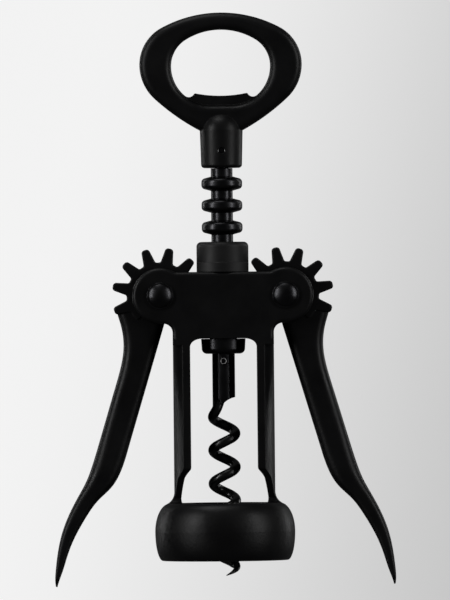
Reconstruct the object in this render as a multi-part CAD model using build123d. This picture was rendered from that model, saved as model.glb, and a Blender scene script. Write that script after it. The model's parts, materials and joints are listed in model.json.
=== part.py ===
from build123d import *
import math
import os

# Corkscrew with two lever arms and a bottle-opener handle, in millimetres.
# X points right, Y to the back and Z up along the worm. The origin is the centre of the bottle seat.

# Fits and cuts
press_clearance = 0.05  # radial room of pieces that stay put
running_clearance = 0.08  # radial room of pieces that turn or slide
axial_play = 0.1  # end float of the turning spindle
cut_overrun = 1.0  # how far a cutter passes the face it opens
round_limit_share = 0.9  # largest part of a wall that a rounding may take

# Bell and its liner
lip_bore_radius = 15.5
liner_wall = 1.65
bell_wall = 2.9
bell_rim_width = 0.7
seat_width = 3.0  # of the ring that stops on the bottle's lip
bell_skirt_depth = 11.5
bell_widest_depth = 3.2
bell_shoulder_inset = 4.3
bell_crown_thickness = 2.95
seat_flange_thickness = 2.0
liner_mouth_inset = 1.0
liner_mouth_chamfer = 0.8

# Legs between the bell and the housing
leg_length = 47.25
leg_thickness = 1.7
leg_ledge = 0.3  # between the cork hole and the legs
leg_foot_half_width = 2.8
leg_ankle_half_width = 5.8
leg_foot_height = 7.4
leg_waist_height = 2.4
leg_waist_round = 1.0
leg_foot_side_round = 1.5
leg_inner_round = 2.5
leg_foot_start_angle = 77.0  # place on the bell's shoulder where the foot leaves it

# Housing that carries the two pivots
housing_height = 19.1
housing_half_depth = 8.5
housing_edge_round = 1.2
housing_skirt = 1.8  # how far its flat sides reach down past it
pivot_drop = 6.75  # from its top
ear_rise = 1.25  # of the ears above its top
crotch_round = 2.6
ear_root_round = 2.0
bore_clearance = 0.3

# Spindle, rack sleeve and guides
spindle_radius = 2.0
rack_core_wall = 1.04
rack_ring_height = 2.73
rack_ring_round = 1.2
collar_wall = 1.52
collar_height = 8.6
collar_foot_height = 2.7
collar_top_round = 1.4
spigot_wall = 0.97
spigot_depth = 3.0
guide_ring_wall = 1.27
guide_ring_height = 2.3
thrust_washer_wall = 1.85
thrust_washer_thickness = 0.8

# Gear sectors on the levers, in proportion to the module
gear_module = 2.0
gear_teeth_per_turn = 12
sector_tooth_count = 8
first_tooth_angle = -12.0  # from the line towards the rack, upwards
lever_swing_angle = 100.0
mesh_gap = 0.15
tip_clearance = 0.3
gear_thickness = 8.0
gear_side_gap = 0.2
gear_edge_chamfer = 0.3
tooth_root_round = 0.7
lever_hub_step = 1.8  # from the tooth roots in to the hub
tooth_addendum_share = 0.925  # of the module
tooth_dedendum_share = 1.2  # of the module
tooth_root_share = 0.557  # of the pitch
tooth_tip_share = 0.344  # of the pitch
ring_root_share = 0.652  # of the pitch
ring_tip_share = 0.42  # of the pitch

# Lever arms
lever_length = 88.5
lever_width = 8.5
lever_depth = 7.4
lever_splay_angle = 16.7  # from straight down, outwards
lever_round_share = 0.36  # corner radius, of the section's smaller side
lever_shoulder_drop = 7.0  # from the pivot, along the arm
lever_tip_round = 4.6  # of the paddle's end, seen from the side
lever_tip_room_share = 1.04  # room that the rounded end leaves the paddle, of its depth
# Inner edge, outer edge and depth at even steps from the shoulder to the tip
lever_station_shares = (
    (-0.40, 1.32, 1.00),
    (-0.40, 0.98, 1.00),
    (-0.40, 0.74, 1.00),
    (-0.40, 0.63, 1.00),
    (-0.40, 0.60, 1.00),
    (-0.40, 0.60, 1.00),
    (-0.40, 0.60, 1.01),
    (-0.40, 0.60, 1.03),
    (-0.40, 0.60, 1.06),
    (-0.40, 0.60, 1.10),
    (-0.36, 0.61, 1.15),
    (-0.21, 0.65, 1.21),
    (0.09, 0.76, 1.26),
    (0.29, 0.87, 1.30),
    (0.43, 0.94, 1.32),
    (0.53, 0.95, 1.32),
    (0.57, 0.90, 1.30),
    (0.58, 0.81, 1.26),
    (0.60, 0.65, 1.20),
)

# Pivot pins and their washers
pivot_pin_radius = 2.0
pivot_head_overhang = 1.4
pivot_head_height = 1.2
pivot_washer_wall = 1.75
pivot_washer_thickness = 0.6

# Handle with the bottle opener
handle_landing_gap = 0.25
hub_radius = 6.15
hub_draft = 0.3
hub_height = 10.9
hub_dome_height = 5.4
hub_bottom_round = 1.0
spindle_seat_depth = 9.0
handle_widest_rise = 29.7
handle_half_width = 23.3
handle_crown_rise = 14.9
handle_cheek_radius = 13.2
handle_cheek_turn_angle = 47.0
handle_thickness = 7.0
handle_edge_round = 2.2
handle_corner_share = 0.81  # side radius, of the crown's rise
opening_drop = 0.4
opening_half_width = 14.2
opening_crown_rise = 10.4
opening_cheek_radius = 11.2
opening_corner_share = 0.856  # side radius, of the crown's rise
notch_inset = 5.0
notch_radius = 1.7
notch_rise_angle = 20.0
lip_thickness = 3.2
lip_sag = 0.8
lip_edge_round = 0.5
lip_root = 1.6
handle_pin_radius = 0.9
handle_pin_rise = 5.0
pin_recess = 0.25

# Worm and its chuck
stop_gap = 0.1
stop_overlap = 0.45
stop_flange_height = 4.3
stop_flange_draft = 0.25
stop_flange_round = 1.5
chuck_stem_wall = 1.2
chuck_scoop_radius = 5.9
chuck_scoop_offset = 4.2  # of the scoop's centre from the axis
chuck_tongue_length = 4.2
chuck_web = 1.4
spindle_socket_depth = 8.8
worm_socket_depth = 6.6
chuck_pin_radius = 0.75
chuck_pin_drop = 6.4
worm_wire_radius = 1.4
worm_mean_radius = 3.25
worm_pitch = 9.6
worm_exit_rise = 4.5  # from the stem's end to where the wire leaves the axis
worm_length = 55.6  # from there
worm_lead_in = 10.1
worm_tip_length = 3.4
worm_tip_radius = 0.12
worm_lead_turn_angle = 50.0
worm_crest_angle = 180.0  # where the lead-in reaches the full radius
worm_spans_per_turn = 5
worm_tip_sections = 6

# Radii that follow from the fits
cork_hole_radius = lip_bore_radius - seat_width
liner_radius = lip_bore_radius + liner_wall
pocket_radius = liner_radius + press_clearance
bell_radius = pocket_radius + bell_wall
leg_inner_radius = cork_hole_radius + leg_ledge
leg_outer_radius = leg_inner_radius + leg_thickness
sleeve_bore_radius = spindle_radius + running_clearance
rack_core_radius = sleeve_bore_radius + rack_core_wall
rack_ring_radius = rack_core_radius + rack_ring_height
guide_bore_radius = rack_ring_radius + running_clearance
housing_bore_radius = rack_ring_radius + bore_clearance
collar_radius = guide_bore_radius + collar_wall
spigot_radius = guide_bore_radius + spigot_wall
guide_ring_radius = guide_bore_radius + guide_ring_wall
spindle_hole_radius = spindle_radius + press_clearance
thrust_washer_radius = spindle_hole_radius + thrust_washer_wall
stop_flange_radius = guide_bore_radius + stop_overlap
chuck_stem_radius = spindle_hole_radius + chuck_stem_wall
pivot_hole_radius = pivot_pin_radius + press_clearance
pivot_washer_radius = pivot_hole_radius + pivot_washer_wall

# Gear and rack sizes
tooth_pitch = math.pi * gear_module
tooth_step_angle = 360 / gear_teeth_per_turn
pitch_radius = gear_module * gear_teeth_per_turn / 2
tooth_tip_radius = pitch_radius + tooth_addendum_share * gear_module
tooth_root_radius = pitch_radius - tooth_dedendum_share * gear_module
lever_hub_radius = tooth_root_radius - lever_hub_step
slot_radius = tooth_tip_radius + tip_clearance
slot_half_depth = gear_thickness / 2 + gear_side_gap
pivot_offset = pitch_radius + rack_ring_radius + mesh_gap
ear_radius = pivot_drop + ear_rise
rack_travel = pitch_radius * math.radians(lever_swing_angle)

# Heights along the worm's axis
bell_bottom = -bell_skirt_depth
bell_top = seat_flange_thickness + bell_crown_thickness
housing_bottom = bell_top + leg_length
housing_top = housing_bottom + housing_height
pivot_height = housing_top - pivot_drop
collar_top = housing_top + collar_height
hub_bottom = collar_top + rack_travel + handle_landing_gap
hub_top = hub_bottom + hub_height
handle_widest = hub_bottom + handle_widest_rise
opening_widest = handle_widest - opening_drop
sleeve_top = hub_bottom - axial_play
flange_top = housing_bottom - stop_gap
sleeve_bottom = flange_top + thrust_washer_thickness + axial_play
flange_bottom = flange_top - stop_flange_height
spindle_bottom = flange_top - spindle_socket_depth
spindle_top = hub_bottom + spindle_seat_depth
worm_top = spindle_bottom - chuck_web
chuck_bottom = worm_top - worm_socket_depth
worm_exit = chuck_bottom + worm_exit_rise
mesh_height = pivot_height + pitch_radius * math.radians(first_tooth_angle + tooth_step_angle / 2)

sides = (("left", -1), ("right", 1))


# Shared helpers


def disc(radius, low, high):
    """Cylinder about the worm's axis between two heights."""
    return Pos(0, 0, low) * Cylinder(
        radius, high - low, align=(Align.CENTER, Align.CENTER, Align.MIN)
    )


def tube(outer_radius, inner_radius, low, high):
    """Plain ring about the worm's axis between two heights."""
    return disc(outer_radius, low, high) - disc(inner_radius, low - cut_overrun, high + cut_overrun)


def cross_rod(radius, half_length, x, z):
    """Cylinder along Y, centred on the XZ plane."""
    return Pos(x, 0, z) * Rot(90, 0, 0) * Cylinder(radius, 2 * half_length)


def rectangle(left, right, low, high):
    """Flat rectangle given by its four edges."""
    return Pos((left + right) / 2, (low + high) / 2) * Rectangle(right - left, high - low)


def spun(profile):
    """Solid turned about Z from a profile of radius and height."""
    return revolve(Plane.XZ * profile, axis=Axis.Z)


def slab(outline, half_depth):
    """Front outline, drawn in X and Z, given depth to both sides."""
    return extrude(Plane.XZ * outline, half_depth, both=True)


def mirrored_face(edges):
    """Face bounded by some edges on the right and their mirror images."""
    half = Curve() + edges
    return make_face([half, mirror(half, about=Plane.YZ)])


def rounded(profile, radius, *places):
    """Flat profile with the corners nearest to the given places rounded."""
    corners = [profile.vertices().sort_by_distance((x, y, 0))[0] for x, y in places]
    return fillet(corners, radius)


def dome_arc(radius, base, height):
    """Arc of a round cap's profile, from its rim to the axis."""
    ball_radius = (radius**2 + height**2) / (2 * height)
    start = math.degrees(math.atan2(ball_radius - height, radius))
    return CenterArc((0, base + height - ball_radius), ball_radius, start, 90 - start)


def gear_slots():
    """Room that the two gear sectors sweep between the cheeks."""
    return [
        cross_rod(slot_radius, slot_half_depth, sign * pivot_offset, pivot_height) for _, sign in sides
    ]


# Frame


def bell():
    """Round bell, open below for the bottle's lip and above for the cork."""
    widest = -bell_widest_depth
    shoulder_radius = bell_radius - bell_shoulder_inset
    rim_radius = pocket_radius + bell_rim_width
    shoulder = EllipticalCenterArc(
        (shoulder_radius, widest), bell_shoulder_inset, bell_top - widest
    )
    skirt = EllipticalCenterArc(
        (rim_radius, widest), bell_radius - rim_radius, widest - bell_bottom, start_angle=270
    )
    inside = Polyline(
        (shoulder_radius, bell_top),
        (cork_hole_radius, bell_top),
        (cork_hole_radius, seat_flange_thickness),
        (pocket_radius, seat_flange_thickness),
        (pocket_radius, bell_bottom),
        (rim_radius, bell_bottom),
    )
    return spun(make_face([skirt, shoulder, inside]))


def legs():
    """Two curved legs that flare into the bell below and the housing above."""
    place = math.radians(leg_foot_start_angle)
    shoulder_height = bell_top + bell_widest_depth
    foot_radius = bell_radius - bell_shoulder_inset * (1 - math.cos(place))
    foot_height = shoulder_height * math.sin(place) - bell_widest_depth
    slope = math.atan2(shoulder_height * math.cos(place), bell_shoulder_inset * math.sin(place))
    foot_round = (foot_radius - leg_outer_radius) / (1 - math.sin(slope))
    foot_end = foot_height + foot_round * math.cos(slope)
    low = seat_flange_thickness + bell_crown_thickness / 2
    high = housing_bottom + housing_edge_round
    inner_top = leg_inner_radius - leg_inner_round
    round_start = housing_bottom - leg_inner_round
    wall = make_face(
        [
            Polyline((leg_outer_radius, high), (inner_top, high), (inner_top, housing_bottom)),
            RadiusArc((inner_top, housing_bottom), (leg_inner_radius, round_start), leg_inner_round),
            Polyline(
                (leg_inner_radius, round_start),
                (leg_inner_radius, low),
                (foot_radius, low),
                (foot_radius, foot_height),
            ),
            TangentArc(
                (foot_radius, foot_height),
                (leg_outer_radius, foot_end),
                tangent=(-math.cos(slope), math.sin(slope)),
            ),
            Line((leg_outer_radius, foot_end), (leg_outer_radius, high)),
        ]
    )
    return spun(wall) & extrude(Plane.YZ * leg_side_outline(low, high), bell_radius, both=True)


def leg_side_outline(low, high):
    """Outline of a leg seen from the side: slim foot, narrow ankle and a wide shank."""
    ankle = bell_top + leg_foot_height
    shank = ankle + leg_waist_height
    foot_edge = leg_foot_half_width + leg_foot_side_round
    foot_top = bell_top + leg_foot_side_round
    side = Curve() + [
        Polyline((0, low), (foot_edge, low), (foot_edge, bell_top)),
        RadiusArc((foot_edge, bell_top), (leg_foot_half_width, foot_top), leg_foot_side_round),
        Polyline(
            (leg_foot_half_width, foot_top),
            (leg_ankle_half_width, ankle),
            (housing_half_depth, shank),
            (housing_half_depth, high),
            (0, high),
        ),
    ]
    outline = make_face([side, mirror(side, about=Plane.YZ)])
    corners = [
        (sign * half_width, height)
        for _, sign in sides
        for half_width, height in ((leg_ankle_half_width, ankle), (housing_half_depth, shank))
    ]
    return rounded(outline, leg_waist_round, *corners)


def housing():
    """Block with an ear round each pivot."""
    ear_bottom = pivot_height - ear_radius
    ear_start = pivot_offset - math.sqrt(ear_radius**2 - pivot_drop**2)
    ear_side = (pivot_offset + ear_radius, pivot_height)
    outline = mirrored_face(
        [
            Line((0, housing_top), (ear_start, housing_top)),
            ThreePointArc((ear_start, housing_top), ear_side, (pivot_offset, ear_bottom)),
            Polyline(
                (pivot_offset, ear_bottom),
                (leg_outer_radius, ear_bottom),
                (leg_outer_radius, housing_bottom),
                (0, housing_bottom),
            ),
        ]
    )
    crotch_room = min(pivot_offset - leg_outer_radius, ear_bottom - housing_bottom)
    crotches = [(sign * leg_outer_radius, ear_bottom) for _, sign in sides]
    outline = rounded(outline, min(crotch_round, round_limit_share * crotch_room), *crotches)
    outline = rounded(outline, ear_root_round, *[(sign * ear_start, housing_top) for _, sign in sides])
    block = slab(outline, housing_half_depth)
    front, *_, back = block.faces().sort_by(Axis.Y)
    upper_rims = []
    for face in (front, back):
        _, *upper_groups = face.edges().group_by(Axis.Z)
        upper_rims += sum(upper_groups, [])
    return fillet(upper_rims, housing_edge_round) + housing_skirts()


def housing_skirts():
    """Flat sides of the housing, carried down past its underside."""
    low = housing_bottom - housing_skirt
    block = slab(rectangle(-leg_outer_radius, leg_outer_radius, low, housing_bottom), housing_half_depth)
    return block - disc(leg_inner_radius, low - cut_overrun, housing_bottom + cut_overrun)


def frame():
    """One casting: bell, legs and housing, with its bores and gear slots."""
    casting = bell() + legs() + housing()
    casting -= disc(housing_bore_radius, housing_bottom - cut_overrun, housing_top + cut_overrun)
    casting -= disc(
        guide_ring_radius + press_clearance,
        housing_bottom - cut_overrun,
        housing_bottom + guide_ring_height,
    )
    casting -= disc(spigot_radius + press_clearance, housing_top - spigot_depth, housing_top + cut_overrun)
    casting -= gear_slots()
    for _, sign in sides:
        casting -= cross_rod(
            pivot_hole_radius, housing_half_depth + cut_overrun, sign * pivot_offset, pivot_height
        )
    return casting


def bell_liner():
    """Cup in the bell: a skirt round the bottle's lip and the flange that seats on it."""
    mouth = bell_bottom + liner_mouth_inset
    profile = rectangle(lip_bore_radius, liner_radius, mouth, seat_flange_thickness)
    profile += rectangle(cork_hole_radius, liner_radius, 0, seat_flange_thickness)
    lead_in = profile.vertices().sort_by_distance((lip_bore_radius, mouth, 0))[0]
    return spun(chamfer(lead_in, min(liner_mouth_chamfer, round_limit_share * liner_wall)))


def upper_guide_bush():
    """Collar on the housing that the rack slides through; its foot is notched for the gear teeth."""
    profile = rectangle(guide_bore_radius, collar_radius, housing_top, collar_top)
    top_round = min(collar_top_round, round_limit_share * collar_wall)
    profile = rounded(profile, top_round, (collar_radius, collar_top))
    spigot = tube(spigot_radius, guide_bore_radius, housing_top - spigot_depth, housing_top)
    foot_radius = math.hypot(collar_radius, slot_half_depth)
    foot = tube(foot_radius, guide_bore_radius, housing_top, housing_top + collar_foot_height)
    return spun(profile) + spigot + foot - gear_slots()


def lower_guide_ring():
    """Ring in the housing's underside that the rack slides through and the stop flange meets."""
    return tube(
        guide_ring_radius, guide_bore_radius, housing_bottom, housing_bottom + guide_ring_height
    ) - gear_slots()


def pivot_pin(sign):
    """Pin across the housing with a domed head at each end."""
    seat = housing_half_depth + pivot_washer_thickness
    head_radius = pivot_pin_radius + pivot_head_overhang
    top = seat + pivot_head_height
    profile = make_face(
        [
            Polyline((0, top), (0, 0), (pivot_pin_radius, 0), (pivot_pin_radius, seat), (head_radius, seat)),
            dome_arc(head_radius, seat, pivot_head_height),
        ]
    )
    half = spun(profile)
    pin = half + mirror(half, about=Plane.XY)
    return Pos(sign * pivot_offset, 0, pivot_height) * Rot(90, 0, 0) * pin


def pivot_washer(sign, end):
    """Washer under a pin's head, in front (end -1) or at the back (end 1)."""
    middle = end * (housing_half_depth + pivot_washer_thickness / 2)
    ring = Cylinder(pivot_washer_radius, pivot_washer_thickness)
    ring -= Cylinder(pivot_hole_radius, pivot_washer_thickness + cut_overrun)
    return Pos(sign * pivot_offset, middle, pivot_height) * Rot(90, 0, 0) * ring


# Levers


def gear_sector():
    """Finger-toothed sector of the right lever, drawn about its pivot with the rack to the left."""
    root_half = tooth_root_share * tooth_pitch / 2
    tip_half = tooth_tip_share * tooth_pitch / 2
    flank_taper = (root_half - tip_half) / (tooth_tip_radius - tooth_root_radius)
    base_half = tip_half + flank_taper * tooth_tip_radius
    tooth = Polygon(
        (0, -base_half),
        (tooth_tip_radius, -tip_half),
        (tooth_tip_radius, tip_half),
        (0, base_half),
        align=None,
    )
    tip_round = round_limit_share * tip_half
    tooth = rounded(tooth, tip_round, (tooth_tip_radius, -tip_half), (tooth_tip_radius, tip_half))
    rim_end_angle = first_tooth_angle + sector_tooth_count * tooth_step_angle
    rim = make_face(
        [
            CenterArc((0, 0), tooth_root_radius, 180 - rim_end_angle, rim_end_angle - first_tooth_angle),
            PolarLine((0, 0), tooth_root_radius, 180 - rim_end_angle),
            PolarLine((0, 0), tooth_root_radius, 180 - first_tooth_angle),
        ]
    )
    sector = Circle(lever_hub_radius) + rim
    for index in range(sector_tooth_count):
        sector += Rot(0, 0, 180 - first_tooth_angle - index * tooth_step_angle) * tooth
    return sector


def gear():
    """Gear sector with depth, rounded tooth roots and broken edges."""
    solid = slab(gear_sector(), gear_thickness / 2)
    roots = [
        edge
        for edge in solid.edges().filter_by(Axis.Y)
        if math.isclose(math.hypot(edge.center().X, edge.center().Z), tooth_root_radius)
    ]
    root_gap = tooth_root_radius * math.radians(tooth_step_angle) - tooth_root_share * tooth_pitch
    solid = fillet(roots, min(tooth_root_round, round_limit_share * root_gap / 2))
    rims = solid.faces().sort_by(Axis.Y)[0].edges() + solid.faces().sort_by(Axis.Y)[-1].edges()
    return chamfer(rims, gear_edge_chamfer)


def lever_arm():
    """Tapering arm of the right lever, from its shoulder beside the gear to its pointed tip."""
    splay = math.radians(lever_splay_angle)
    along = Vector(math.sin(splay), 0, -math.cos(splay))
    outward = Vector(math.cos(splay), 0, math.sin(splay))
    sections = []
    station_step = (lever_length - lever_shoulder_drop) / (len(lever_station_shares) - 1)
    for index, (inner_share, outer_share, depth_share) in enumerate(lever_station_shares):
        width = (outer_share - inner_share) * lever_width
        depth = depth_share * lever_depth
        middle = (outer_share + inner_share) / 2 * lever_width
        origin = along * (lever_shoulder_drop + index * station_step) + outward * middle
        section = RectangleRounded(width, depth, lever_round_share * min(width, depth))
        sections.append(Plane(origin=origin, x_dir=outward, z_dir=along) * section)
    paddle_depth = max(depth_share for _, _, depth_share in lever_station_shares) * lever_depth
    end_width = lever_tip_room_share * paddle_depth
    end_round = min(lever_tip_round, round_limit_share * end_width / 2)
    side_outline = RectangleRounded(2 * lever_length, end_width, end_round)
    side_view = Plane(origin=(0, 0, 0), x_dir=along, z_dir=outward)
    return loft(sections) & extrude(side_view * side_outline, lever_length, both=True)


def lever(sign):
    """Lever with its gear sector and pivot bore."""
    bore = cross_rod(pivot_pin_radius + running_clearance, gear_thickness, 0, 0)
    right = Pos(pivot_offset, 0, pivot_height) * (gear() + lever_arm() - bore)
    return right if sign > 0 else mirror(right, about=Plane.YZ)


# Rack and screw


def rack_sleeve():
    """Sleeve with turned rings, which the gear teeth reach between."""
    root_half = ring_root_share * tooth_pitch / 2
    tip_half = ring_tip_share * tooth_pitch / 2
    ring = Polygon(
        (sleeve_bore_radius, -root_half),
        (rack_core_radius, -root_half),
        (rack_ring_radius, -tip_half),
        (rack_ring_radius, tip_half),
        (rack_core_radius, root_half),
        (sleeve_bore_radius, root_half),
        align=None,
    )
    tip_round = min(rack_ring_round, round_limit_share * tip_half)
    ring = rounded(ring, tip_round, (rack_ring_radius, -tip_half), (rack_ring_radius, tip_half))
    lowest = math.ceil((sleeve_bottom + root_half - mesh_height) / tooth_pitch)
    highest = math.floor((sleeve_top - root_half - mesh_height) / tooth_pitch)
    profile = rectangle(sleeve_bore_radius, rack_core_radius, sleeve_bottom, sleeve_top)
    for index in range(lowest, highest + 1):
        profile += Pos(0, mesh_height + index * tooth_pitch) * ring
    return spun(profile)


def spindle():
    """Rod from the chuck to the handle, turning inside the rack sleeve."""
    rod = disc(spindle_radius, spindle_bottom, spindle_top)
    return rod - handle_pin_hole() - chuck_pin_hole()


def thrust_washer(low):
    """Washer that takes the rack sleeve's thrust."""
    return tube(thrust_washer_radius, spindle_hole_radius, low, low + thrust_washer_thickness)


def handle_pin_hole():
    """Cutter for the cross pin through the hub and the spindle."""
    return cross_rod(
        handle_pin_radius + press_clearance, hub_radius + cut_overrun, 0, hub_bottom + handle_pin_rise
    )


def handle_pin():
    """Cross pin that fixes the handle to the spindle."""
    half_length = hub_radius - hub_draft - pin_recess
    return cross_rod(handle_pin_radius, half_length, 0, hub_bottom + handle_pin_rise)


def chuck_pin_hole():
    """Cutter for the cross pin through the chuck and the spindle."""
    return cross_rod(
        chuck_pin_radius + press_clearance, chuck_stem_radius + cut_overrun, 0, flange_top - chuck_pin_drop
    )


def chuck_pin():
    """Cross pin that fixes the chuck to the spindle."""
    return cross_rod(chuck_pin_radius, chuck_stem_radius - pin_recess, 0, flange_top - chuck_pin_drop)


def oval_half(half_width, rise, corner_share, middle):
    """Right half of a crown: a flat top arc and a side arc, tangent to each other."""
    corner = corner_share * rise
    crown = ((half_width - corner) ** 2 + rise**2 - corner**2) / (2 * (rise - corner))
    corner_centre = Vector(half_width - corner, middle)
    crown_centre = Vector(0, middle + rise - crown)
    join = crown_centre + (corner_centre - crown_centre).normalized() * crown
    top_arc = TangentArc((0, middle + rise), join, tangent=(1, 0))
    side_arc = TangentArc((half_width, middle), join, tangent=(0, 1))
    return [top_arc, side_arc]


def handle_outline():
    """Outside of the opener ring, down to where it meets the hub and closes inside it."""
    turn = math.radians(handle_cheek_turn_angle)
    cheek_centre = Vector(handle_half_width - handle_cheek_radius, handle_widest)
    cheek_end = cheek_centre + Vector(math.cos(turn), -math.sin(turn)) * handle_cheek_radius
    root = Vector(hub_radius - hub_draft, hub_top - hub_draft)
    side = TangentArc(cheek_end, root, tangent=(-math.sin(turn), -math.cos(turn)))
    slope = side % 1
    bottom = root.Y + root.X * slope.Y / (1 - slope.X)
    edges = oval_half(handle_half_width, handle_crown_rise, handle_corner_share, handle_widest)
    edges += [
        TangentArc((handle_half_width, handle_widest), cheek_end, tangent=(0, -1)),
        side,
        TangentArc(root, (0, bottom), tangent=slope),
    ]
    return mirrored_face(edges)


def opening_outline():
    """Finger opening of the ring, without the opener's lip."""
    cheek_middle = opening_half_width - opening_cheek_radius
    bottom = opening_widest - opening_cheek_radius
    edges = oval_half(opening_half_width, opening_crown_rise, opening_corner_share, opening_widest)
    edges += [
        TangentArc((opening_half_width, opening_widest), (cheek_middle, bottom), tangent=(0, -1)),
        Line((cheek_middle, bottom), (0, bottom)),
    ]
    return mirrored_face(edges)


def lip_outline():
    """Opener's lip across the foot of the opening, with a notch beside each end."""
    cheek_centre = Vector(opening_half_width - opening_cheek_radius, opening_widest)
    reach = opening_cheek_radius - notch_radius
    across = opening_half_width - notch_inset - cheek_centre.X
    notch_centre = cheek_centre + Vector(across, -math.sqrt(reach**2 - across**2))
    outward = (notch_centre - cheek_centre).normalized()
    start = notch_centre + outward * notch_radius
    rise = math.radians(notch_rise_angle)
    end = notch_centre - Vector(math.cos(rise), math.sin(rise)) * notch_radius
    root = cheek_centre + outward * (opening_cheek_radius + lip_root)
    bottom = opening_widest - opening_cheek_radius - lip_root
    edges = [
        ThreePointArc(start, notch_centre - Vector(0, notch_radius), end),
        ThreePointArc(end, (0, end.Y - lip_sag), (-end.X, end.Y)).trim(0, 0.5),
        Polyline(start, root, (cheek_centre.X, bottom), (0, bottom)),
    ]
    return rounded(mirrored_face(edges), lip_edge_round, (end.X, end.Y), (-end.X, end.Y))


def handle_hub():
    """Round hub under the ring, domed where it runs into it."""
    profile = make_face(
        [
            Polyline((0, hub_top + hub_dome_height), (0, hub_bottom), (hub_radius - hub_draft, hub_bottom)),
            Line((hub_radius - hub_draft, hub_bottom), (hub_radius, hub_top)),
            dome_arc(hub_radius, hub_top, hub_dome_height),
        ]
    )
    return spun(rounded(profile, hub_bottom_round, (hub_radius - hub_draft, hub_bottom)))


def handle():
    """Opener ring with its lip and hub, bored for the spindle, washer and pin."""
    outline = handle_outline()
    opening = opening_outline()
    narrowest_rim = outline.wire().distance_to(opening.wire())
    edge_round = min(handle_edge_round, round_limit_share * min(narrowest_rim, handle_thickness) / 2)
    ring = slab(outline - opening, handle_thickness / 2)
    rims = ring.faces().sort_by(Axis.Y)[0].edges() + ring.faces().sort_by(Axis.Y)[-1].edges()
    body = fillet(rims, edge_round) + slab(lip_outline(), lip_thickness / 2) + handle_hub()
    body -= disc(spindle_hole_radius, hub_bottom - cut_overrun, spindle_top)
    body -= disc(
        thrust_washer_radius + press_clearance,
        hub_bottom - cut_overrun,
        hub_bottom + thrust_washer_thickness,
    )
    return body - handle_pin_hole()


def worm_chuck():
    """Stop flange and stem that join the spindle to the worm, with a channel for the wire."""
    low_radius = stop_flange_radius - stop_flange_draft
    profile = Polygon(
        (0, chuck_bottom),
        (chuck_stem_radius, chuck_bottom),
        (chuck_stem_radius, flange_bottom),
        (low_radius, flange_bottom),
        (stop_flange_radius, flange_top),
        (0, flange_top),
        align=None,
    )
    body = spun(rounded(profile, stop_flange_round, (low_radius, flange_bottom)))
    body += chuck_tongue()
    body -= disc(spindle_hole_radius, spindle_bottom, flange_top + cut_overrun)
    lead_in = [place for place in worm_places() if place[0].Z > chuck_bottom - 2 * chuck_tongue_length]
    return body - wire(worm_wire_radius + press_clearance, lead_in) - chuck_pin_hole()


def chuck_tongue():
    """Rounded tongue that the scooped end of the stem leaves beside the wire."""
    low = chuck_bottom - chuck_tongue_length
    side_outline = rectangle(-chuck_stem_radius, chuck_stem_radius, low, chuck_bottom)
    end_round = round_limit_share * min(chuck_stem_radius, chuck_tongue_length)
    side_outline = rounded(side_outline, end_round, (-chuck_stem_radius, low), (chuck_stem_radius, low))
    tongue = disc(chuck_stem_radius, low, chuck_bottom)
    tongue &= extrude(Plane.YZ * side_outline, chuck_stem_radius, both=True)
    scoop_drop = math.sqrt(chuck_scoop_radius**2 - (chuck_scoop_offset - chuck_stem_radius) ** 2)
    return tongue - cross_rod(
        chuck_scoop_radius, chuck_stem_radius + cut_overrun, chuck_scoop_offset, chuck_bottom - scoop_drop
    )


def worm_place(depth):
    """Point on the wire's centre line, and the way it runs down, at a depth below its straight shank."""
    turn_rate = 2 * math.pi / worm_pitch
    crest_turn = math.radians(worm_crest_angle)
    if depth < worm_lead_in:
        lead_share = depth / worm_lead_in
        lead_turn = math.radians(worm_lead_turn_angle)
        power = turn_rate * worm_lead_in / lead_turn
        radius = worm_mean_radius * lead_share**2 * (3 - 2 * lead_share)
        growth = worm_mean_radius * 6 * lead_share * (1 - lead_share) / worm_lead_in
        turn = crest_turn + lead_turn * (1 - lead_share**power)
        spin = -turn_rate * lead_share ** (power - 1)
    else:
        radius = worm_mean_radius
        growth = 0
        turn = crest_turn - turn_rate * (depth - worm_lead_in)
        spin = -turn_rate
    outward = Vector(math.cos(turn), math.sin(turn))
    around = Vector(-math.sin(turn), math.cos(turn))
    point = outward * radius + Vector(0, 0, worm_exit - depth)
    tangent = outward * growth + around * (radius * spin) - Vector(0, 0, 1)
    return point, tangent.normalized()


def arc_pair(start, leave, end, arrive):
    """Two arcs, tangent to each other, that join two points in the given directions."""
    chord = end - start
    lean = chord.dot(leave + arrive)
    bend = 2 * (1 - leave.dot(arrive))
    reach = (math.sqrt(lean**2 + bend * chord.dot(chord)) - lean) / bend
    first_handle = start + leave * reach
    second_handle = end - arrive * reach
    middle = (first_handle + second_handle) / 2
    return [
        TangentArc(start, middle, tangent=leave),
        TangentArc(middle, end, tangent=second_handle - first_handle),
    ]


def worm_places():
    """Points and directions along the wire, from its straight shank to its taper."""
    wire_depth = worm_length - worm_tip_length
    span_count = round(wire_depth / worm_pitch * worm_spans_per_turn)
    return [worm_place(wire_depth * index / span_count) for index in range(span_count + 1)]


def wire(radius, places):
    """Round rod along the shank and through some places of the worm."""
    path = []
    for (start, leave), (end, arrive) in zip(places, places[1:]):
        path += arc_pair(start, leave, end, arrive)
    turns = sweep(Pos(0, 0, worm_exit) * Circle(radius), path=Wire(path))
    return disc(radius, worm_exit, worm_top) + turns


def worm():
    """Wire worm: a straight shank in the chuck, right-handed turns and a tapered point."""
    sections = []
    for index in range(worm_tip_sections):
        taper_share = index / (worm_tip_sections - 1)
        point, tangent = worm_place(worm_length - worm_tip_length * (1 - taper_share))
        radius = worm_wire_radius + (worm_tip_radius - worm_wire_radius) * taper_share
        sections.append(Plane(origin=point, z_dir=tangent) * Circle(radius))
    return wire(worm_wire_radius, worm_places()) + loft(sections)


# Every piece under its own name

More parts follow.
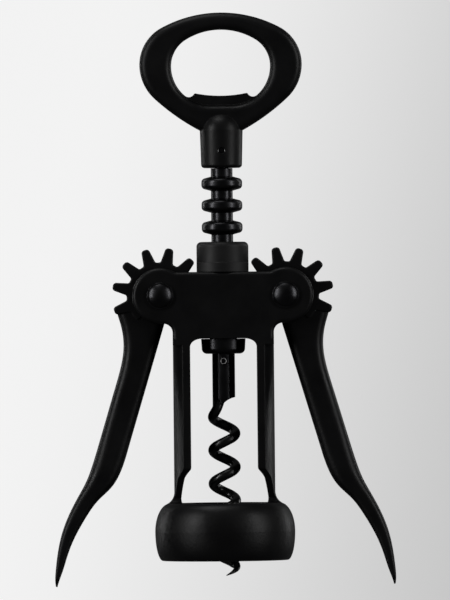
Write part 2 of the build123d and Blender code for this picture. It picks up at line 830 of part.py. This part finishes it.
pieces = {
    "frame": frame(),
    "bell_liner": bell_liner(),
    "upper_guide_bush": upper_guide_bush(),
    "lower_guide_ring": lower_guide_ring(),
    "rack_sleeve": rack_sleeve(),
    "spindle": spindle(),
    "upper_thrust_washer": thrust_washer(hub_bottom),
    "lower_thrust_washer": thrust_washer(flange_top),
    "handle": handle(),
    "handle_pin": handle_pin(),
    "worm_chuck": worm_chuck(),
    "chuck_pin": chuck_pin(),
    "worm": worm(),
}
for side, sign in sides:
    pieces[f"{side}_lever"] = lever(sign)
    pieces[f"{side}_pivot_pin"] = pivot_pin(sign)
    pieces[f"{side}_front_pivot_washer"] = pivot_washer(sign, -1)
    pieces[f"{side}_back_pivot_washer"] = pivot_washer(sign, 1)

os.makedirs("parts", exist_ok=True)
for name, piece in pieces.items():
    export_step(piece, f"parts/{name}.step")
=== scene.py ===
import json
import math

import bmesh
import bpy
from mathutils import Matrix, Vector


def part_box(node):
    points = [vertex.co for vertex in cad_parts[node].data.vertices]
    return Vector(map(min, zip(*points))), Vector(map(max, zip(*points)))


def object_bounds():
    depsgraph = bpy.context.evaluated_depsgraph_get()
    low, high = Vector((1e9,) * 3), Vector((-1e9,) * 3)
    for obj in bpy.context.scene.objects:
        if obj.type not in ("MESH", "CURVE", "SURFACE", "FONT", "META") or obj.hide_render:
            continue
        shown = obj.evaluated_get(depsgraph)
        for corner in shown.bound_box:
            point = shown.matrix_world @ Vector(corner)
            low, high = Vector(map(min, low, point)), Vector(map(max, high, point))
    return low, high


# Winged corkscrew, all in black, in a pale studio. Lengths are in metres.

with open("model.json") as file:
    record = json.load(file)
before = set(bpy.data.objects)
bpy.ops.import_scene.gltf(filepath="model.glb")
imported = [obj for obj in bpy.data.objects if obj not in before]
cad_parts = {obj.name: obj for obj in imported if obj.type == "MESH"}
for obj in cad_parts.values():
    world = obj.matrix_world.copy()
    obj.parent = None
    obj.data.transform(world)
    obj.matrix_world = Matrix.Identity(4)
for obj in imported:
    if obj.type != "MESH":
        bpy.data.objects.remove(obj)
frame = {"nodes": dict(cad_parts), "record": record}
cad_low, cad_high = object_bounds()
nodes = frame["nodes"]
millimetre = 0.001
white = (1, 1, 1, 1)

# Camera, straight in front and far away
picture_height_px = 600
pixel_size = 0.287 * millimetre
picture_middle = Vector((0.6, 0, 63.2)) * millimetre
camera_level_angle = 90  # from looking straight down
camera_roll_angle = 0.58
camera_lens_mm = 800
sensor_size_mm = 36  # along the picture's longer side

# Stage, a pale bowl with a painted glow of its own that is lightest at the upper left
floor_drop = 0.1  # below the lowest point of the object
floor_radius = 0.9
bowl_round = 0.7
wall_height = 1.6
bowl_segments = 128
bowl_round_steps = 24
stage_tone = (0.2, 0.2, 0.2, 1)
stage_roughness = 1
stage_specular = 0
# painted light: the floor glows by itself and fades along this direction between these ends, in place of a
# lamp lighting it from the upper left
stage_painted_glow_direction = (1, 0, -0.27)
stage_painted_glow_ends = (-0.1, 0.16)
stage_painted_glow_range = (0.82, 0.44)  # at the light and the dark end

# Lights: upright strips round the object, one soft light above it and an even fill
strip_distance = 1.1
strip_rise = 0.3
strip_width = 0.16
strip_height = 0.9
strip_angles = {"front": 58, "back": 128}  # from straight in front, to either side
side_signs = {"left": -1, "right": 1}
strip_watts = {("front", "left"): 8, ("front", "right"): 6, ("back", "left"): 2, ("back", "right"): 2}
top_light_place = Vector((-0.25, -0.1, 1.3))
top_light_size = 0.6
top_light_watts = 5
fill_strength = 0.07

# All finishes
edge_radius = 0.3 * millimetre
edge_agreement_range = (0.8, 0.99)  # of the rounded and the plain normal, on an edge and beside it
edge_mask_range = (1, 0)  # on an edge and beside it
noise_range = (0.3, 0.7)  # where most values of a noise lie
patch_detail = 3

# Satin coat of the castings
coat_patch = 9 * millimetre
coat_tones = ((0.0014, 0.0014, 0.0016, 1), (0.0028, 0.0028, 0.003, 1))
coat_edge_tone = (0.008, 0.008, 0.0083, 1)
coat_roughness_range = (0.36, 0.48)
coat_specular = 0.16
coat_relief_detail = 1
coat_peel = 1.1 * millimetre
coat_peel_depth = 0.035 * millimetre
coat_grain = 0.22 * millimetre
coat_grain_depth = 0.018 * millimetre

# Black-oxide steel; the axis of a node that isn't upright runs from front to back
upright_nodes = ("rack_sleeve", "spindle", "worm_chuck")
steel_patch = 4 * millimetre
steel_tones = ((0.016, 0.016, 0.017, 1), (0.03, 0.03, 0.032, 1))
steel_edge_tone = (0.036, 0.036, 0.038, 1)
steel_roughness_range = (0.26, 0.38)
steel_metallic = 1
steel_line = 0.3 * millimetre
steel_line_depth = 0.008 * millimetre
steel_line_detail = 2

# Smooth coat of the worm
worm_patch = 3 * millimetre
worm_tones = ((0.0014, 0.0014, 0.0014, 1), (0.0026, 0.0026, 0.0026, 1))
worm_edge_tone = (0.005, 0.005, 0.005, 1)
worm_roughness_range = (0.24, 0.34)
worm_specular = 0.3
worm_grain = 0.5 * millimetre
worm_grain_depth = 0.008 * millimetre
worm_grain_detail = 3

# Moulded nylon of the guides, the thrust washers and the liner
nylon_patch = 6 * millimetre
nylon_tones = ((0.002, 0.002, 0.0021, 1), (0.004, 0.004, 0.0042, 1))
nylon_edge_tone = (0.007, 0.007, 0.0072, 1)
nylon_roughness_range = (0.5, 0.6)
nylon_specular = 0.25
nylon_grain = 0.28 * millimetre
nylon_grain_depth = 0.015 * millimetre
nylon_grain_detail = 1


def feed(tree, node, inputs):
    """Gives sockets of a node their links or constants."""
    for socket, given in dict(inputs).items():
        if isinstance(given, bpy.types.NodeSocket):
            tree.links.new(given, node.inputs[socket])
        else:
            node.inputs[socket].default_value = given


def add_node(tree, kind, inputs=(), **settings):
    """Node of a kind with its settings made and its sockets fed."""
    node = tree.nodes.new(f"ShaderNode{kind}")
    for setting, value in settings.items():
        setattr(node, setting, value)
    feed(tree, node, inputs)
    return node


def new_tree(name):
    """Node material with its surface shader and a finder for places on the object."""
    material = bpy.data.materials.new(name)
    material.use_nodes = True
    tree = material.node_tree
    shader = tree.nodes["Principled BSDF"]
    place = add_node(tree, "TexCoord").outputs["Object"]
    return material, tree, shader, place


def noise(tree, place, size, detail):
    """Soft noise whose grains have the given size."""
    inputs = {"Vector": place, "Scale": 1 / size, "Detail": detail}
    return add_node(tree, "TexNoise", inputs).outputs["Fac"]


def spread(tree, value, source_range, result_range, **settings):
    """Value mapped from one range of numbers to another."""
    sockets = ("Value", "From Min", "From Max", "To Min", "To Max")
    inputs = zip(sockets, (value, *source_range, *result_range))
    return add_node(tree, "MapRange", inputs, **settings).outputs["Result"]


def vector_math(tree, operation, *inputs):
    """Vector node with one or two inputs."""
    return add_node(tree, "VectorMath", enumerate(inputs), operation=operation)


def tint(tree, value, dark, light):
    """Mix of two colours."""
    inputs = {"Factor": value, "A": dark, "B": light}
    return add_node(tree, "Mix", inputs, data_type="RGBA").outputs["Result"]


def bump(tree, height, depth, normal):
    """Normal with fine relief of the given depth."""
    inputs = {"Height": height, "Distance": depth, "Normal": normal}
    return add_node(tree, "Bump", inputs).outputs["Normal"]


def soft_edges(tree):
    """Normal that rounds the edges, and a mask of them."""
    rounded = add_node(tree, "Bevel", {"Radius": edge_radius}).outputs["Normal"]
    plain = add_node(tree, "NewGeometry").outputs["Normal"]
    agreement = vector_math(tree, "DOT_PRODUCT", rounded, plain).outputs["Value"]
    return rounded, spread(tree, agreement, edge_agreement_range, edge_mask_range)


def black_finish(name, patch, tones, edge_tone, roughness_range):
    """Black material that varies from patch to patch and is lighter on worn edges."""
    material, tree, shader, place = new_tree(name)
    normal, edge = soft_edges(tree)
    patches = noise(tree, place, patch, patch_detail)
    colour = tint(tree, edge, tint(tree, patches, *tones), edge_tone)
    roughness = spread(tree, patches, noise_range, roughness_range)
    feed(tree, shader, {"Base Color": colour, "Roughness": roughness})
    return material, tree, shader, place, normal


def coat_material():
    """Satin black coat on a casting, with orange peel and a fine grain."""
    finish = black_finish("satin_black_coat", coat_patch, coat_tones, coat_edge_tone, coat_roughness_range)
    material, tree, shader, place, normal = finish
    for size, depth in ((coat_peel, coat_peel_depth), (coat_grain, coat_grain_depth)):
        normal = bump(tree, noise(tree, place, size, coat_relief_detail), depth, normal)
    feed(tree, shader, {"Specular IOR Level": coat_specular, "Normal": normal})
    return material


def turned_place(tree, place, name):
    """Distance from the node's own axis, and place along it."""
    low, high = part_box(name)
    axis = (0, 0, 1) if name in upright_nodes else (0, 1, 0)
    offset = vector_math(tree, "SUBTRACT", place, (low + high) / 2).outputs["Vector"]
    along = vector_math(tree, "DOT_PRODUCT", offset, axis).outputs["Value"]
    across = vector_math(tree, "CROSS_PRODUCT", offset, axis).outputs["Vector"]
    radius = vector_math(tree, "LENGTH", across).outputs["Value"]
    return add_node(tree, "CombineXYZ", {"X": radius, "Z": along}).outputs["Vector"]


def steel_material(name):
    """Black-oxide steel with the lines of its turning."""
    finish = black_finish(
        f"black_oxide_{name}", steel_patch, steel_tones, steel_edge_tone, steel_roughness_range
    )
    material, tree, shader, place, normal = finish
    lines = noise(tree, turned_place(tree, place, name), steel_line, steel_line_detail)
    normal = bump(tree, lines, steel_line_depth, normal)
    feed(tree, shader, {"Metallic": steel_metallic, "Normal": normal})
    return material


def worm_material():
    """Smooth black non-stick coat on spring wire."""
    finish = black_finish("black_worm_coat", worm_patch, worm_tones, worm_edge_tone, worm_roughness_range)
    material, tree, shader, place, normal = finish
    grain = noise(tree, place, worm_grain, worm_grain_detail)
    normal = bump(tree, grain, worm_grain_depth, normal)
    feed(tree, shader, {"Specular IOR Level": worm_specular, "Normal": normal})
    return material


def nylon_material():
    """Moulded black nylon with a fine matt grain."""
    finish = black_finish(
        "moulded_black_nylon", nylon_patch, nylon_tones, nylon_edge_tone, nylon_roughness_range
    )
    material, tree, shader, place, normal = finish
    grain = noise(tree, place, nylon_grain, nylon_grain_detail)
    normal = bump(tree, grain, nylon_grain_depth, normal)
    feed(tree, shader, {"Specular IOR Level": nylon_specular, "Normal": normal})
    return material


def dress_nodes():
    """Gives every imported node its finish."""
    finishes = {"body_coat": coat_material(), "worm_coat": worm_material(), "nylon": nylon_material()}
    slots = {row["node"]: row["material_slot"] for row in frame["record"]["subparts"]}
    for name, node in nodes.items():
        node.data.materials.clear()
        node.data.materials.append(finishes.get(slots[name]) or steel_material(name))


def stage_material():
    """Pale paper with a painted glow that is lightest at one side and fades to the other, and shows its
    inner side only.
    """
    material, tree, shader, place = new_tree("pale_floor")
    # painted light: the floor glows by itself, lightest at the upper left, in place of a lamp lighting it
    # from there
    fade = vector_math(tree, "DOT_PRODUCT", place, stage_painted_glow_direction).outputs["Value"]
    glow = spread(tree, fade, stage_painted_glow_ends, stage_painted_glow_range, interpolation_type="SMOOTHSTEP")
    feed(tree, shader, {
        "Base Color": stage_tone, "Roughness": stage_roughness, "Specular IOR Level": stage_specular,
        "Emission Color": white, "Emission Strength": glow,
    })
    back = add_node(tree, "NewGeometry").outputs["Backfacing"]
    clear = add_node(tree, "BsdfTransparent").outputs["BSDF"]
    surface = add_node(tree, "MixShader", enumerate((back, shader.outputs["BSDF"], clear))).outputs["Shader"]
    feed(tree, tree.nodes["Material Output"], {"Surface": surface})
    return material


def bowl_profile():
    """Radius and height of points from the floor's middle, round the bend and up the wall."""
    points = [(0, 0)]
    for step in range(bowl_round_steps + 1):
        turn = math.pi / 2 * step / bowl_round_steps
        points.append((floor_radius + bowl_round * math.sin(turn), bowl_round * (1 - math.cos(turn))))
    return points + [(floor_radius + bowl_round, wall_height)]


def make_stage():
    """Seamless pale bowl under and round the object, which doesn't mirror it."""
    floor_height = cad_low.z - floor_drop
    mesh = bmesh.new()
    points = [mesh.verts.new((radius, 0, floor_height + height)) for radius, height in bowl_profile()]
    edges = [mesh.edges.new(pair) for pair in zip(points, points[1:])]
    bmesh.ops.spin(
        mesh, geom=points + edges, axis=(0, 0, 1), cent=(0, 0, 0), angle=2 * math.pi,
        steps=bowl_segments, use_merge=True,
    )
    bmesh.ops.recalc_face_normals(mesh, faces=mesh.faces)
    bmesh.ops.reverse_faces(mesh, faces=mesh.faces)
    data = bpy.data.meshes.new("studio_floor")
    mesh.to_mesh(data)
    mesh.free()
    data.shade_smooth()
    data.materials.append(stage_material())
    floor = bpy.data.objects.new("studio_floor", data)
    floor.visible_diffuse = False
    floor.visible_glossy = False
    floor.visible_shadow = False
    bpy.context.scene.collection.objects.link(floor)


def area_light(name, place, width, height, watts):
    """Rectangular soft light that faces the object."""
    data = bpy.data.lights.new(name, "AREA")
    data.shape = "RECTANGLE"
    data.size = width
    data.size_y = height
    data.energy = watts
    light = bpy.data.objects.new(name, data)
    light.location = place
    light.rotation_euler = (picture_middle - place).to_track_quat("-Z", "Y").to_euler()
    light.visible_camera = False
    bpy.context.scene.collection.objects.link(light)


def make_lights():
    """Strips round the object, a soft light above it and an even fill."""
    world = bpy.data.worlds.new("studio_light")
    world.use_nodes = True
    background = world.node_tree.nodes["Background"]
    feed(world.node_tree, background, {"Color": white, "Strength": fill_strength})
    bpy.context.scene.world = world
    for (end, side), watts in strip_watts.items():
        turn = math.radians(side_signs[side] * strip_angles[end])
        direction = Vector((math.sin(turn), -math.cos(turn), 0))
        place = picture_middle + direction * strip_distance + Vector((0, 0, strip_rise))
        area_light(f"{end}_{side}_strip", place, strip_width, strip_height, watts)
    area_light("top_light", top_light_place, top_light_size, top_light_size, top_light_watts)


def make_camera():
    """Long lens straight in front, turned a little about its own line of sight."""
    data = bpy.data.cameras.new("camera")
    data.lens = camera_lens_mm
    data.sensor_width = sensor_size_mm
    camera = bpy.data.objects.new("camera", data)
    distance = picture_height_px * pixel_size * camera_lens_mm / sensor_size_mm
    camera.location = picture_middle - Vector((0, distance, 0))
    camera.rotation_euler = (math.radians(camera_level_angle), math.radians(camera_roll_angle), 0)
    bpy.context.scene.collection.objects.link(camera)
    bpy.context.scene.camera = camera


dress_nodes()
make_stage()
make_lights()
make_camera()
bpy.context.scene.view_settings.view_transform = "Standard"
